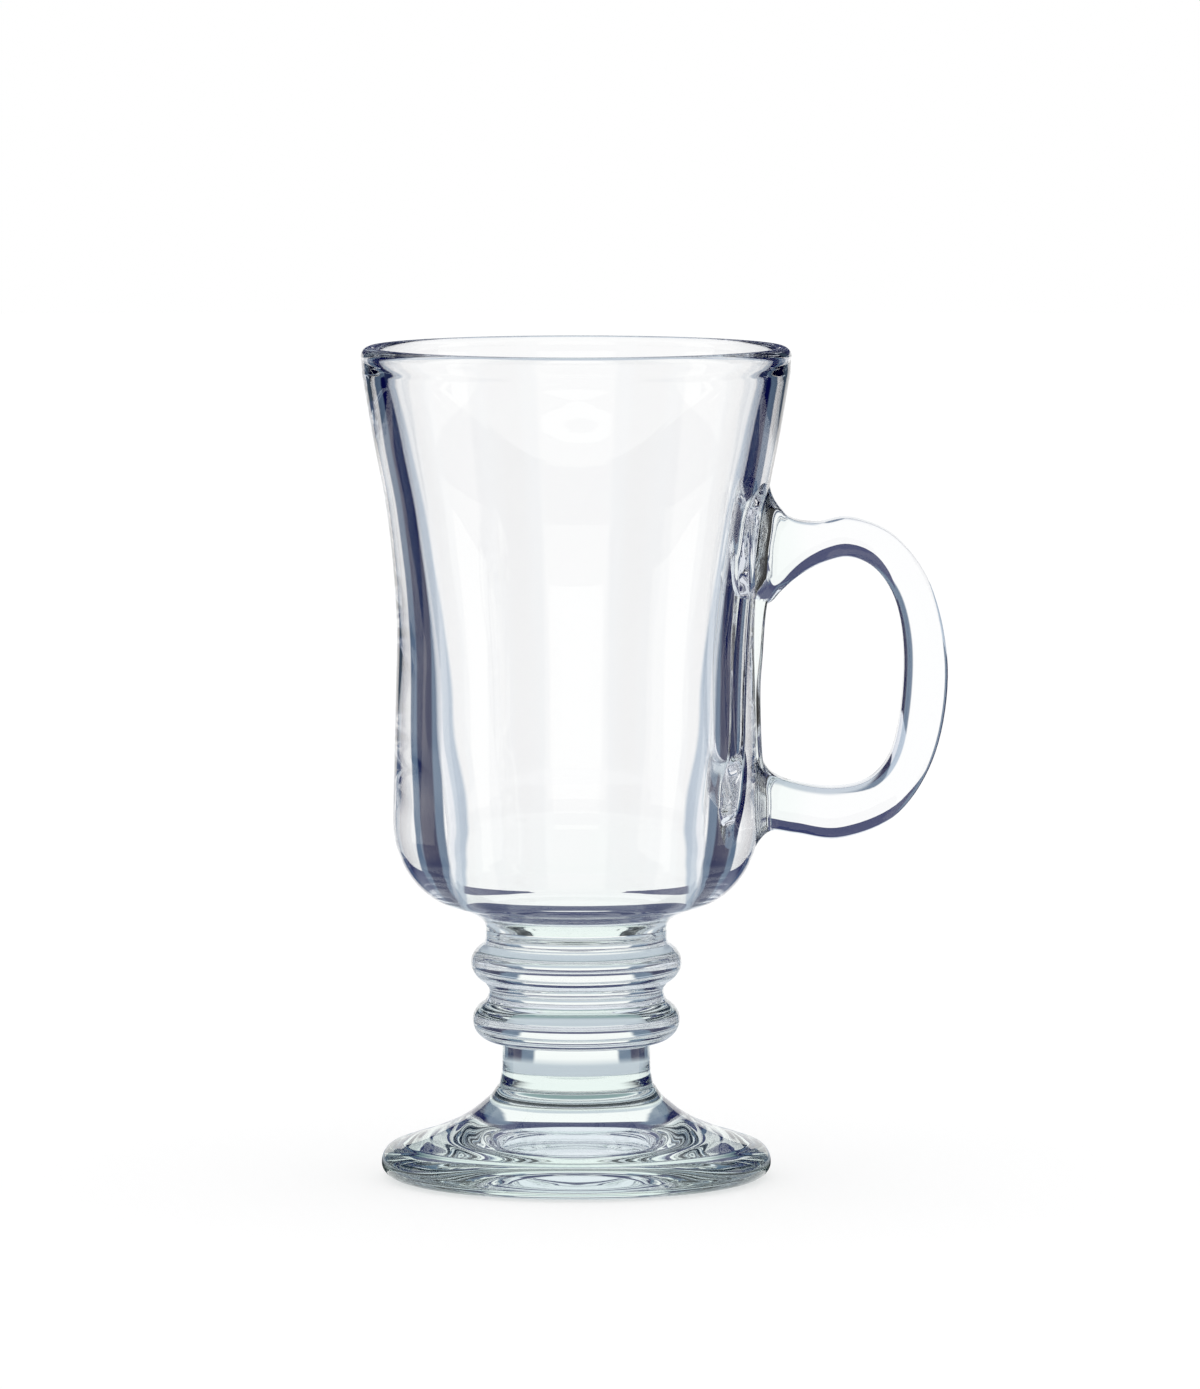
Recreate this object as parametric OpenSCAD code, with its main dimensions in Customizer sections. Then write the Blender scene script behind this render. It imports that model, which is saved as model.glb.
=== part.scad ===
// Irish coffee glass mug, pressed clear glass, fused from four gathers of glass.
// Millimetres, +Z up, +X toward the handle.
// Origin: centre of the resting ring, on the table plane.

/* [Overall] */
// Height from the table to the crest of the lip
total_h = 146; // [140:0.5:154]
// Height of the fused seam between the stem and the bowl
neck_seam_z = 43.8; // [42:0.2:47]
// Height of the fused seam between the foot and the stem
foot_seam_z = 17; // [15:0.2:18]

/* [Bowl] */
// Outer diameter over the rounded lip
lip_d = 75.3; // [72:0.1:80]
// Thickness of the rounded lip
lip_t = 3.2; // [2.6:0.1:3.8]
// Height of the lip band above the groove under it
lip_band_h = 3.4; // [3:0.1:5]
// Depth of the groove under the lip band
groove_depth = 0.5; // [0.2:0.1:0.8]
// Outer diameter at the narrowest place of the wall
waist_d = 62.8; // [59:0.2:63.6]
// Outer diameter at the fullest place, low on the wall
belly_d = 64.2; // [62:0.2:68]
// Wall thickness in the flare, halfway between the waist and the groove under the lip
flare_wall = 4.8; // [3.8:0.1:5.6]
// Wall thickness at the waist
waist_wall = 5.8; // [4.6:0.1:6.8]
// Wall thickness at the belly, measured in to the top of the well
belly_wall = 7.75; // [6.6:0.05:9.2]
// Glass between the drink and the fused seam, on the axis
floor_t = 3; // [2:0.1:4.5]

/* [Stem] */
// Diameter of the neck above the rings
neck_d = 31.8; // [30:0.2:34]
// Diameter over the upper ring
upper_ring_d = 37; // [35:0.2:40]
// Diameter over the lower ring
lower_ring_d = 36.4; // [35:0.2:40]
// Height of one ring
ring_h = 8; // [7.2:0.1:8.6]
// Diameter of the groove between the rings
groove_d = 30.8; // [28:0.2:31.4]
// Diameter of the plain stem under the rings
stem_d = 26; // [24:0.2:28]

/* [Foot] */
// Diameter of the foot
foot_d = 68.4; // [62:0.2:74]
// Height of the rounded edge of the foot
foot_edge_h = 6; // [5.2:0.1:6.8]
// Width of the flat ring that the foot rests on
resting_w = 2.2; // [1.4:0.1:3.4]
// Height of the dome under the foot
dome_h = 4.6; // [3:0.1:6]

/* [Handle] */
// Distance from the axis to the outside of the handle
handle_reach = 65; // [60:0.5:70]
// Height of the lowest point of the handle
handle_low_z = 60; // [57:0.5:62]
// Height of the highest point of the handle
handle_top_z = 116; // [112:0.5:119]
// Width of the handle bar across its flat sides
bar_w = 10; // [8:0.2:12]
// Width of the handle's two roots where they are fused to the wall
root_w = 16.4; // [14:0.2:18]
// Height of the upper root's weld on the wall
upper_root_h = 22.8; // [21:0.2:25]
// Height of the lower root's weld on the wall
lower_root_h = 19.6; // [18.6:0.2:21]
// Rounding of the handle's four long edges, across its width
bar_edge_r = 2.2; // [1.2:0.1:2.3]

/* [Hidden] */

$fn = 144;
glass = [0.80, 0.90, 0.92, 0.55];
tinted_glass = [0.70, 0.84, 0.84, 0.60];
curve_steps = 6;
arc_steps = 8;
corner_steps = 6;
quarter_angle = 90;
lip_angle = 192;

// Radii and heights of the bowl
lip_r = lip_d / 2;
bead_r = lip_t / 2;
waist_r = waist_d / 2;
belly_r = belly_d / 2;
neck_r = neck_d / 2;
wall_h = total_h - neck_seam_z;
waist_z_share = 0.515;
belly_z_share = 0.188;
waist_z = neck_seam_z + waist_z_share * wall_h;
belly_z = neck_seam_z + belly_z_share * wall_h;
wall_top_drop_share = 1.35;
wall_top_z = total_h - wall_top_drop_share * lip_band_h;
wall_top_inset_share = 0.4;
wall_top_r = lip_r - wall_top_inset_share * groove_depth;
groove_z = total_h - lip_band_h;

// Flare of the outer wall above the waist: share of its width, share of its height
flare_shares = [[0.107, 0.25], [0.327, 0.5], [0.684, 0.75]];
bulge_shares = [[0.343, 0.333], [0.729, 0.667]];

// Shoulder under the belly: a quarter of an ellipse, then a short cone and the neck
shoulder_w_share = 0.415;
shoulder_w = shoulder_w_share * belly_r;
shoulder_low_share = 0.19;
shoulder_low_z = neck_seam_z + shoulder_low_share * (belly_z - neck_seam_z);
shoulder_angle = 82;
// Fillet from the neck to the shoulder: share of the step's width, share of the belly's height
fillet_shares = [[0, 0], [0.05, 0.06], [0.33, 0.122]];

// Nose of the bowl, fused into the cup of the stem
nose_r_share = 0.8;
nose_r = nose_r_share * neck_r;
well_top_share = 0.296;
well_top_z = neck_seam_z + well_top_share * wall_h;
well_drop_share = 0.125;
well_z = neck_seam_z - well_drop_share * (well_top_z - neck_seam_z);
nose_z = well_z - floor_t;

// Bottom of the drink space: share of its radius at the top of the well, share of the well's depth
well_shares = [
    [0.949, 0.355], [0.918, 0.487], [0.858, 0.613], [0.637, 0.777], [0.472, 0.85], [0.308, 0.941],
    [0.144, 0.988], [0, 1]
];

// Stem and rings
stem_r = stem_d / 2;
ring_half = ring_h / 2;
ring_round_share = 0.265;
ring_angle = 58;
ring_under_angle = 78;
stem_run = neck_seam_z - foot_seam_z;
upper_ring_share = 0.778;
lower_ring_share = 0.401;
upper_ring_z = foot_seam_z + upper_ring_share * stem_run;
lower_ring_z = foot_seam_z + lower_ring_share * stem_run;

// Foot
foot_r = foot_d / 2;
foot_seam_share = 1.03;
foot_seam_r = foot_seam_share * stem_r;
edge_w_share = 0.09;
edge_w = edge_w_share * foot_r;
edge_mid_share = 0.43;
edge_mid_z = edge_mid_share * foot_edge_h;
edge_angle = 75;
// Flare of the foot from the seam down to its edge: share of its width, share of its height
foot_flare_shares = [
    [0.028, 0.905], [0.09, 0.762], [0.187, 0.623], [0.30, 0.48], [0.47, 0.324], [0.73, 0.153]
];

// Handle: outer and inner edge, as shares of the reach from the wall and of the handle's height
outer_edge_shares = [
    [-0.104, 1.175], [0.032, 1.084], [0.122, 1.007], [0.282, 0.986], [0.474, 1.0],
    [0.716, 0.942], [0.910, 0.791], [1.0, 0.535], [0.936, 0.268], [0.736, 0.077],
    [0.444, 0.0], [0.202, 0.014], [0.062, 0.023], [0.012, -0.016]
];
inner_edge_shares = [
    [-0.058, 0.570], [0.036, 0.689], [0.118, 0.770], [0.272, 0.845], [0.463, 0.880],
    [0.625, 0.838], [0.738, 0.721], [0.772, 0.532], [0.722, 0.296], [0.598, 0.187],
    [0.408, 0.155], [0.196, 0.170], [0.073, 0.204], [0.021, 0.279]
];
bar_steps = 4;
side_steps = 4;

// The bar runs between these two shares of its edges, and the roots go on from there to the wall
upper_end_share = 0.135;
lower_end_share = 0.892;
upper_root_share = 0.914;
lower_root_share = 0.121;
// Along the bar's thickness its edges are rounded further than across its width
edge_round_share = 1.6;
// Low ridge on the wall from root to root: share of the handle's height, and how far it stands proud
// as a share of the bar's width
ridge_shares = [[0.786, 0.3], [0.741, 0.185], [0.589, 0.127], [0.464, 0.065], [0.286, 0.065], [0.214, 0.1]];
ridge_w_share = 0.86;
ridge_edge_share = 0.08;

// A root leaves the bar straight, swings round as a fillet and meets the wall at a low angle
root_steps = 8;
bar_lead_share = 0.7;
wall_lead_share = 0.45;
root_taper_share = 0.1;
root_angle = 15;
root_sink_share = 0.03;
core_share = 0.5;
handle_h = handle_top_z - handle_low_z;

// Smooth curve through points: one span between b and c, with a and d beside them
function span(a, b, c, d, t) =
    b + (c - a) * t / 2 + (2 * a - 5 * b + 4 * c - d) * t * t / 2 + (3 * b - a - 3 * c + d) * t * t * t / 2;

// The whole curve through all points but the first and the last, which only lead it in and out
function curve(p, steps) = [
    for (i = [1 : len(p) - 3])
        for (k = [0 : steps - 1])
            span(p[i - 1], p[i], p[i + 1], p[i + 2], k / steps),
    p[len(p) - 2]
];

// A curve whose ends lead straight on
function open_curve(p, steps) =
    let(n = len(p) - 1)
    curve(concat([2 * p[0] - p[1]], p, [2 * p[n] - p[n - 1]]), steps);

// Points of an elliptic arc about a centre, from one angle to another
function arc(centre, half_w, half_h, from, to, steps) = [
    for (k = [0 : steps])
        let(a = from + (to - from) * k / steps)
        centre + [half_w * cos(a), half_h * sin(a)]
];

function reversed(p) = [for (i = [len(p) - 1 : -1 : 0]) p[i]];
function between(a, b, share) = a + (b - a) * share;

// Outer wall from the belly up to the groove under the lip
wall_points = concat(
    [[belly_r, belly_z]],
    [for (p = bulge_shares) [between(belly_r, waist_r, p[0]), between(belly_z, waist_z, p[1])]],
    [[waist_r, waist_z]],
    [for (p = flare_shares) [between(waist_r, wall_top_r, p[0]), between(waist_z, wall_top_z, p[1])]],
    [[wall_top_r, wall_top_z]]
);
wall_curve = curve(concat(
    [[belly_r, 2 * belly_z - wall_points[1][1]]],
    wall_points,
    [2 * wall_points[len(wall_points) - 1] - wall_points[len(wall_points) - 2]]
), curve_steps);

shoulder_centre = [belly_r - shoulder_w, belly_z];
shoulder_h = belly_z - shoulder_low_z;
shoulder_arc = arc(shoulder_centre, shoulder_w, shoulder_h, -shoulder_angle, 0, arc_steps * 2);
shoulder_low = shoulder_arc[0];
neck_fillet = open_curve(concat(
    [for (p = fillet_shares)
        [between(neck_r, shoulder_low[0], p[0]), between(neck_seam_z, belly_z, p[1])]],
    [shoulder_low]
), curve_steps);
lip_arc = arc([lip_r - bead_r, total_h - bead_r], bead_r, bead_r, 0, lip_angle, arc_steps * 2);
groove_point = [lip_r - groove_depth, groove_z];
outer_side = concat(neck_fillet, shoulder_arc, wall_curve, [groove_point], lip_arc);

// Outer radius of the wall at any height, for the handle's roots
wall_table = [for (p = concat(shoulder_arc, wall_curve)) [p[1], p[0]]];
function wall_r(z) = lookup(z, wall_table);

// Inner side: the drink space from the mouth to the bottom of the well
flare_mid_z = between(waist_z, wall_top_z, 1 / 2);
well_r = belly_r - belly_wall;
thin_share = 0.2;
thick_share = 0.35;
function inside(z, thickness) = [wall_r(z) - thickness, z];
inner_points = concat(
    [lip_arc[len(lip_arc) - 1]],
    [inside(between(flare_mid_z, wall_top_z, 1 / 2), between(flare_wall, lip_t, thin_share))],
    [inside(flare_mid_z, flare_wall)],
    [inside(between(flare_mid_z, waist_z, 1 / 2), between(flare_wall, waist_wall, thick_share))],
    [inside(waist_z, waist_wall)],
    [inside(between(waist_z, well_top_z, 1 / 2), between(waist_wall, belly_wall, 1 / 2))],
    [[well_r, well_top_z]],
    [for (p = well_shares) [p[0] * well_r, between(well_top_z, well_z, p[1])]]
);
inner_side = open_curve(inner_points, curve_steps);

nose_arc = arc([0, neck_seam_z], nose_r, neck_seam_z - nose_z, -90, 0, arc_steps * 2);

// One rounded ring of the stem: its outline from the lower to the upper turn
function ring_outline(r, z, under, over) =
    arc([r * (1 - ring_round_share), z], r * ring_round_share, ring_half, -under, over, arc_steps * 2);

// Rounded valley of one radius between two points of the outline
function valley(low, high, r) =
    let(third = (high[1] - low[1]) / 3)
    open_curve([low, [r, low[1] + third], [r, high[1] - third], high], curve_steps);

lower_ring = ring_outline(lower_ring_d / 2, lower_ring_z, ring_under_angle, ring_angle);
upper_ring = ring_outline(upper_ring_d / 2, upper_ring_z, ring_angle, ring_angle);

module bowl() {
    color(glass)
        rotate_extrude()
            polygon(concat(nose_arc, outer_side, inner_side));
}

module stem() {
    color(tinted_glass)
        rotate_extrude()
            polygon(concat(
                [[0, foot_seam_z], [foot_seam_r, foot_seam_z]],
                [[stem_r, between(foot_seam_z, lower_ring_z, 1 / 4)]],
                [[stem_r, lower_ring[0][1]]],
                lower_ring,
                valley(lower_ring[len(lower_ring) - 1], upper_ring[0], groove_d / 2),
                upper_ring,
                valley(upper_ring[len(upper_ring) - 1], [neck_r, neck_seam_z], neck_r),
                reversed(nose_arc)
            ));
}

foot_top = curve(concat(
    [[stem_r, foot_seam_z * 2 - between(foot_edge_h, foot_seam_z, 1 / 2)]],
    [[foot_seam_r, foot_seam_z]],
    [for (p = foot_flare_shares)
        [between(foot_seam_r, foot_r - edge_w, p[0]), between(foot_edge_h, foot_seam_z, p[1])]],
    [[foot_r - edge_w, foot_edge_h]],
    [[foot_r, foot_edge_h / 2]]
), curve_steps);
foot_edge_upper =
    arc([foot_r - edge_w, edge_mid_z], edge_w, foot_edge_h - edge_mid_z, edge_angle, 0, arc_steps);
foot_edge_lower = arc([foot_r - edge_w, edge_mid_z], edge_w, edge_mid_z, 0, -90, arc_steps);
dome_rim_r = foot_r - edge_w - resting_w;
dome = arc([0, 0], dome_rim_r, dome_h, 0, 90, arc_steps * 2);

module foot() {
    color(tinted_glass)
        rotate_extrude()
            polygon(concat(
                [[0, foot_seam_z]],
                foot_top,
                foot_edge_upper,
                foot_edge_lower,
                dome
            ));
}

// Rounded rectangle across the handle, as places along its thickness and its width
function corner_point(half_t, half_w, round_t, round_w, corner, share) =
    let(
        a = quarter_angle * (corner + share),
        side_t = corner == 0 || corner == 3 ? 1 : -1,
        side_w = corner < 2 ? 1 : -1
    )
    [side_t * (half_t - round_t) + round_t * cos(a), side_w * (half_w - round_w) + round_w * sin(a)];

function section(half_t, half_w, round_t, round_w) = [
    for (corner = [0 : 3])
        let(
            arc_end = corner_point(half_t, half_w, round_t, round_w, corner, 1),
            next_arc = corner_point(half_t, half_w, round_t, round_w, (corner + 1) % 4, 0)
        )
        each concat(
            [for (k = [0 : corner_steps])
                corner_point(half_t, half_w, round_t, round_w, corner, k / corner_steps)],
            [for (k = [1 : side_steps - 1]) between(arc_end, next_arc, k / side_steps)]
        )
];

function edge_point(p) =
    let(z = handle_low_z + p[1] * handle_h, w = wall_r(z))
    [between(w, handle_reach, p[0]), z];

outer_edge = [for (p = outer_edge_shares) edge_point(p)];
inner_edge = [for (p = inner_edge_shares) edge_point(p)];

// One place on the smooth curve through points, u spans from the first of them
function place(p, u) =
    let(i = floor(u))
    span(p[i - 1], p[i], p[i + 1], p[i + 2], u - i);

// The bar's section at one place along it, as points in space
function bar_ring(u) =
    let(
        outer = place(outer_edge, u),
        inner = place(inner_edge, u),
        across = outer - inner,
        along = across / norm(across),
        middle = (outer + inner) / 2,
        half_t = norm(across) / 2,
        round_t = min(edge_round_share * bar_edge_r, half_t)
    )
    [for (q = section(half_t, bar_w / 2, round_t, bar_edge_r))
        [middle[0] + along[0] * q[0], q[1], middle[1] + along[1] * q[0]]];

// A point on the wall, or at some depth in its glass
function wall_point(y, z, depth) = [sqrt(pow(wall_r(z), 2) - y * y) - depth, y, z];

// Oval weld of a root, narrower toward the finger gap, with as many points as the bar's section
function weld_outline(z, half_h) =
    let(n = 4 * (corner_steps + side_steps))
    [for (i = [0 : n - 1])
        let(a = 4 * quarter_angle * (i + side_steps / 2) / n)
        [root_w / 2 * sin(a) * (1 + root_taper_share * cos(a)), z + half_h * cos(a)]];

function bezier(a, b, c, d, t) =
    pow(1 - t, 3) * a + 3 * t * pow(1 - t, 2) * b + 3 * t * t * (1 - t) * c + pow(t, 3) * d;

// One line of a root's surface, from the bar's section down to its weld on the wall
function root_line(start, before, weld) =
    let(
        sink = root_sink_share * root_w / 2,
        heading = (start - before) / norm(start - before),
        lead = bar_lead_share * (start[0] - wall_point(start[1], start[2], 0)[0]),
        run = wall_lead_share * [start[1] - weld[0], start[2] - weld[1]],
        rise = norm(run) * tan(root_angle)
    )
    [for (k = [1 : root_steps])
        bezier(
            start,
            start + lead * heading,
            wall_point(weld[0] + run[0], weld[1] + run[1], sink - rise),
            wall_point(weld[0], weld[1], sink),
            k / root_steps
        )];

// Rings of one root, and a small last one inside the wall's glass
function root_rings(u, next_u, z, half_h) =
    let(
        start = bar_ring(u),
        before = bar_ring(next_u),
        weld = weld_outline(z, half_h),
        n = len(start),
        lines = [for (i = [0 : n - 1]) root_line(start[i], before[i], weld[i])],
        core_x = wall_r(z) - waist_wall * core_share
    )
    concat(
        [for (k = [0 : root_steps - 1]) [for (line = lines) line[k]]],
        [[for (q = weld) [core_x, core_share * q[0], between(z, q[1], core_share)]]]
    );

module bar() {
    spans = len(outer_edge) - 1;
    first = upper_end_share * spans;
    final = lower_end_share * spans;
    ring_count = ceil((final - first) * bar_steps);
    upper_z = handle_low_z + upper_root_share * handle_h;
    lower_z = handle_low_z + lower_root_share * handle_h;
    rings = concat(
        reversed(root_rings(first, first + 1 / bar_steps, upper_z, upper_root_h / 2)),
        [for (k = [0 : ring_count]) bar_ring(between(first, final, k / ring_count))],
        root_rings(final, final - 1 / bar_steps, lower_z, -lower_root_h / 2)
    );
    loft(rings);
}

// The ridge's section at one height: it stands on the wall, half of it sunk in the wall's glass
function ridge_ring(z, proud) =
    let(round_r = ridge_edge_share * bar_w, half_t = (proud + waist_wall * core_share) / 2)
    [for (q = section(half_t, ridge_w_share * bar_w / 2, round_r, round_r))
        [wall_r(z) + proud - half_t + q[0], q[1], z]];

module ridge() {
    line = open_curve(
        [for (p = ridge_shares) [handle_low_z + p[0] * handle_h, p[1] * bar_w]],
        bar_steps
    );
    loft([for (p = line) ridge_ring(p[0], p[1])]);
}

// Closed solid through rings that have as many points each
module loft(rings) {
    n = len(rings[0]);
    last = len(rings) - 1;
    points = [for (ring = rings) for (q = ring) q];
    sides = [
        for (i = [0 : last - 1])
            for (k = [0 : n - 1])
                let(a = i * n + k, b = i * n + (k + 1) % n)
                [a, b, b + n, a + n]
    ];
    polyhedron(points, concat(
        [[for (k = [n - 1 : -1 : 0]) k]],
        sides,
        [[for (k = [0 : n - 1]) last * n + k]]
    ));
}

// The bowl's outer shape without the drink space, which trims the handle's roots
module bowl_outside() {
    rotate_extrude()
        polygon(concat([[0, neck_seam_z]], outer_side, [[0, total_h - bead_r]]));
}

module handle() {
    color(glass)
        difference() {
            union() {
                bar();
                ridge();
            }
            bowl_outside();
        }
}

bowl();
handle();
stem();
foot();
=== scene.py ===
import math

import bmesh
import bpy
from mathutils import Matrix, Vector
from mathutils.bvhtree import BVHTree
from mathutils.geometry import barycentric_transform


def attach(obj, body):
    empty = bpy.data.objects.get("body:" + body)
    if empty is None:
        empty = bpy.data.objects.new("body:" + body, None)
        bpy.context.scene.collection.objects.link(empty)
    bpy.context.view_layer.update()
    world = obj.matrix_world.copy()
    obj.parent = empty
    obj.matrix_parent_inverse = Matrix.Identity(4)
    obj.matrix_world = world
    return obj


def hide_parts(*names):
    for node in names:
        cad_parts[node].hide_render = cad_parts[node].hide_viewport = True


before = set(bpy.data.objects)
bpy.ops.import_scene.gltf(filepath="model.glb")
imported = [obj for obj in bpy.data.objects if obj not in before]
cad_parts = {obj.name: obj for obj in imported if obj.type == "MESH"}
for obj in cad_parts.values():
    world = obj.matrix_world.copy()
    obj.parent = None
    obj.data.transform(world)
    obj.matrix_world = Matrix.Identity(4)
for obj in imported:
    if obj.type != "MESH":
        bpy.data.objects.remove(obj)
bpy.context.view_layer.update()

MM = 0.001
FULL_TURN = 2 * math.pi

# Sizes, in millimetres, the same as the solids' own

TOTAL_H = 146
NECK_SEAM_Z = 43.8
FOOT_SEAM_Z = 17
LIP_R = 75.3 / 2
LIP_T = 3.2
LIP_BAND_H = 3.4
GROOVE_DEPTH = 0.5
WAIST_R = 62.8 / 2
BELLY_R = 64.2 / 2
FLARE_WALL = 4.8
WAIST_WALL = 5.8
BELLY_WALL = 7.75
FLOOR_T = 3
NECK_R = 31.8 / 2
UPPER_RING_R = 37 / 2
LOWER_RING_R = 36.4 / 2
RING_H = 8
GROOVE_R = 30.8 / 2
STEM_R = 26 / 2
FOOT_R = 68.4 / 2
FOOT_EDGE_H = 6
RESTING_W = 2.2
DOME_H = 4.6
HANDLE_REACH = 65
HANDLE_LOW_Z = 60
HANDLE_TOP_Z = 116
BAR_W = 10
ROOT_W = 16.4
UPPER_ROOT_H = 22.8
LOWER_ROOT_H = 19.6
BAR_EDGE_R = 2.2

WALL_H = TOTAL_H - NECK_SEAM_Z
WAIST_Z_SHARE = 0.515
BELLY_Z_SHARE = 0.188
WALL_TOP_INSET_SHARE = 0.4
WALL_TOP_DROP_SHARE = 1.35
WAIST_Z = NECK_SEAM_Z + WAIST_Z_SHARE * WALL_H
BELLY_Z = NECK_SEAM_Z + BELLY_Z_SHARE * WALL_H
WALL_TOP = (LIP_R - WALL_TOP_INSET_SHARE * GROOVE_DEPTH, TOTAL_H - WALL_TOP_DROP_SHARE * LIP_BAND_H)
BEAD_R = LIP_T / 2

ROUND_STEPS = 256
CURVE_STEPS = 9
ARC_STEPS = 14
FILLET_STEPS = 6


def between(a, b, share):
    return a + (b - a) * share


def along(p, q, share):
    return tuple(between(a, b, share) for a, b in zip(p, q))


def span(a, b, c, d, t):
    """One span of a smooth curve, from b to c, with a and d beside them."""
    return tuple(
        q + (r - p) * t / 2 + (2 * p - 5 * q + 4 * r - s) * t * t / 2 + (3 * q - p - 3 * r + s) * t**3 / 2
        for p, q, r, s in zip(a, b, c, d)
    )


def curve(points, steps):
    """The smooth curve through all points but the first and the last, which lead it in and out."""
    spans = zip(points, points[1:], points[2:], points[3:])
    return [span(*four, k / steps) for four in spans for k in range(steps)] + [tuple(points[-2])]


def open_curve(points, steps):
    return curve([along(points[1], points[0], 2)] + list(points) + [along(points[-2], points[-1], 2)], steps)


def arc(centre, half_w, half_h, start, end, steps=ARC_STEPS):
    turns = [math.radians(between(start, end, k / steps)) for k in range(steps + 1)]
    return [(centre[0] + half_w * math.cos(a), centre[1] + half_h * math.sin(a)) for a in turns]


# Outlines, each a list of radius and height. Their shares lie between two named radii and two named heights.

bulge_shares = [(0.343, 0.333), (0.729, 0.667)]
flare_shares = [(0.107, 0.25), (0.327, 0.5), (0.684, 0.75)]
wall_points = [
    (BELLY_R, BELLY_Z),
    *[(between(BELLY_R, WAIST_R, w), between(BELLY_Z, WAIST_Z, h)) for w, h in bulge_shares],
    (WAIST_R, WAIST_Z),
    *[(between(WAIST_R, WALL_TOP[0], w), between(WAIST_Z, WALL_TOP[1], h)) for w, h in flare_shares],
    WALL_TOP,
]
wall_lead = (BELLY_R, 2 * BELLY_Z - wall_points[1][1])
wall_curve = curve([wall_lead, *wall_points, along(wall_points[-2], WALL_TOP, 2)], CURVE_STEPS)

SHOULDER_W_SHARE = 0.415
SHOULDER_LOW_SHARE = 0.19
SHOULDER_ANGLE = 82
SHOULDER_W = SHOULDER_W_SHARE * BELLY_R
SHOULDER_H = (1 - SHOULDER_LOW_SHARE) * (BELLY_Z - NECK_SEAM_Z)
shoulder_centre = (BELLY_R - SHOULDER_W, BELLY_Z)
shoulder = arc(shoulder_centre, SHOULDER_W, SHOULDER_H, -SHOULDER_ANGLE, 0, 2 * ARC_STEPS)
fillet_shares = [(0, 0), (0.05, 0.06), (0.33, 0.122)]
neck_fillet = open_curve(
    [
        *[(between(NECK_R, shoulder[0][0], w), between(NECK_SEAM_Z, BELLY_Z, h)) for w, h in fillet_shares],
        shoulder[0],
    ],
    CURVE_STEPS,
)

LIP_ANGLE = 192
# The groove is shallower than the solid's, since a deep one draws a second line under the front of the lip
SHOWN_GROOVE_SHARE = 0.3
lip = arc((LIP_R - BEAD_R, TOTAL_H - BEAD_R), BEAD_R, BEAD_R, 0, LIP_ANGLE)
groove_place = (LIP_R - SHOWN_GROOVE_SHARE * GROOVE_DEPTH, TOTAL_H - LIP_BAND_H)
groove = [wall_curve[-2], WALL_TOP, groove_place, lip[0], lip[1]]
outer_side = neck_fillet[:-1] + shoulder + wall_curve[1:-1] + curve(groove, CURVE_STEPS) + lip[1:]


def wall_r(z):
    """Outer radius of the wall at a height."""
    table = shoulder + wall_curve[1:]
    for low, high in zip(table, table[1:]):
        if low[1] <= z <= high[1]:
            return between(low[0], high[0], (z - low[1]) / (high[1] - low[1]))
    return table[0][0] if z < table[0][1] else table[-1][0]


def inside(z, thickness):
    """The place on the inner wall that leaves this thickness at a height."""
    return wall_r(z) - thickness, z


WELL_TOP_SHARE = 0.296
WELL_DROP_SHARE = 0.125
NOSE_R_SHARE = 0.8
# How far the wall has gone from one named thickness to the next, halfway between their heights
UPPER_FLARE_WALL_SHARE = 0.2
LOWER_FLARE_WALL_SHARE = 0.35
WELL_R = BELLY_R - BELLY_WALL
WELL_TOP_Z = NECK_SEAM_Z + WELL_TOP_SHARE * WALL_H
WELL_Z = NECK_SEAM_Z - WELL_DROP_SHARE * (WELL_TOP_Z - NECK_SEAM_Z)
NOSE_Z = WELL_Z - FLOOR_T
NOSE_R = NOSE_R_SHARE * NECK_R
well_shares = [
    (0.949, 0.355), (0.918, 0.487), (0.858, 0.613), (0.637, 0.777),
    (0.472, 0.85), (0.308, 0.941), (0.144, 0.988), (0, 1),
]
FLARE_MID_Z = between(WAIST_Z, WALL_TOP[1], 0.5)
inner_side = open_curve(
    [
        lip[-1],
        inside(between(FLARE_MID_Z, WALL_TOP[1], 0.5), between(FLARE_WALL, LIP_T, UPPER_FLARE_WALL_SHARE)),
        inside(FLARE_MID_Z, FLARE_WALL),
        inside(between(FLARE_MID_Z, WAIST_Z, 0.5), between(FLARE_WALL, WAIST_WALL, LOWER_FLARE_WALL_SHARE)),
        inside(WAIST_Z, WAIST_WALL),
        inside(between(WAIST_Z, WELL_TOP_Z, 0.5), between(WAIST_WALL, BELLY_WALL, 0.5)),
        (WELL_R, WELL_TOP_Z),
        *[(w * WELL_R, between(WELL_TOP_Z, WELL_Z, h)) for w, h in well_shares],
    ],
    CURVE_STEPS,
)
nose = arc((0, NECK_SEAM_Z), NOSE_R, NECK_SEAM_Z - NOSE_Z, -90, 0)
bowl_outline = nose + outer_side + inner_side[1:]

STEM_RUN = NECK_SEAM_Z - FOOT_SEAM_Z
LOWER_RING_SHARE = 0.401
UPPER_RING_SHARE = 0.778
LOWER_RING_Z = FOOT_SEAM_Z + LOWER_RING_SHARE * STEM_RUN
UPPER_RING_Z = FOOT_SEAM_Z + UPPER_RING_SHARE * STEM_RUN
RING_W_SHARE = 0.265
RING_ANGLE = 58
RING_UNDER_ANGLE = 78


def ring_outline(r, z, under):
    """One rounded ring of the stem, from its lower to its upper turn."""
    return arc((r * (1 - RING_W_SHARE), z), r * RING_W_SHARE, RING_H / 2, -under, RING_ANGLE, 2 * ARC_STEPS)


def valley(low, high, r):
    """The rounded valley between two points of the outline."""
    third = (high[1] - low[1]) / 3
    return open_curve([low, (r, low[1] + third), (r, high[1] - third), high], CURVE_STEPS)


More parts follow.
